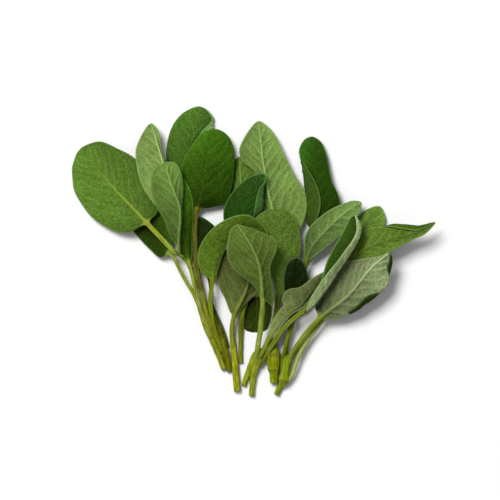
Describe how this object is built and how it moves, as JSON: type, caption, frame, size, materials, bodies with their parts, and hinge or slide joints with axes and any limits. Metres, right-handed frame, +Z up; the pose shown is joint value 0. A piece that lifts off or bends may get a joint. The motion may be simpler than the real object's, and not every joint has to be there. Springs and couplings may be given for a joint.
{
  "type": "sage bunch",
  "caption": "Cut bunch of common sage lying flat: soft oval grey-green leaves on square green stems, fanned out from the cut ends.",
  "frame": {"origin": "on the surface, under the middle of the bunch", "axes": "+Y from the cut stems to the leaf tips, +X to the right as seen from above, +Z up"},
  "size_m": [0.163, 0.1302, 0.0248],
  "materials": {
    "leaf_top": "matte, finely pebbled green upper side with a pale margin",
    "leaf_underside": "matte, pale grey-green underside with a raised net of veins",
    "stem": "satin yellow-green, four-sided, finely haired"
  },
  "bodies": {
    "root": {"stem_left_long": "stem", "stem_left_short": "stem", "stem_middle_front": "stem", "stem_middle_back": "stem", "stem_fork_side": "stem", "stem_fork": "stem", "stem_back": "stem", "stem_right": "stem", "leaf_outer_left": "leaf_top", "leaf_under_left": "leaf_top", "leaf_tall_left": "leaf_underside", "leaf_pale_left": "leaf_underside", "leaf_behind_tall": "leaf_top", "leaf_oval": "leaf_top", "leaf_back_left": "leaf_top", "leaf_dark_small": "leaf_top", "leaf_arching": "leaf_top", "leaf_blue_tip": "leaf_top", "leaf_sliver": "leaf_underside", "leaf_tall_centre": "leaf_underside", "leaf_bright_right": "leaf_top", "leaf_small_dark_right": "leaf_top", "leaf_front": "leaf_underside", "leaf_olive": "leaf_underside", "leaf_low_centre": "leaf_top", "leaf_pale_low": "leaf_underside", "leaf_folded": "leaf_top", "leaf_pale_right": "leaf_underside", "leaf_top_right": "leaf_top", "leaf_far_back_right": "leaf_top", "leaf_outer_right": "leaf_underside", "leaf_big_right": "leaf_underside"}
  },
  "joints": []
}
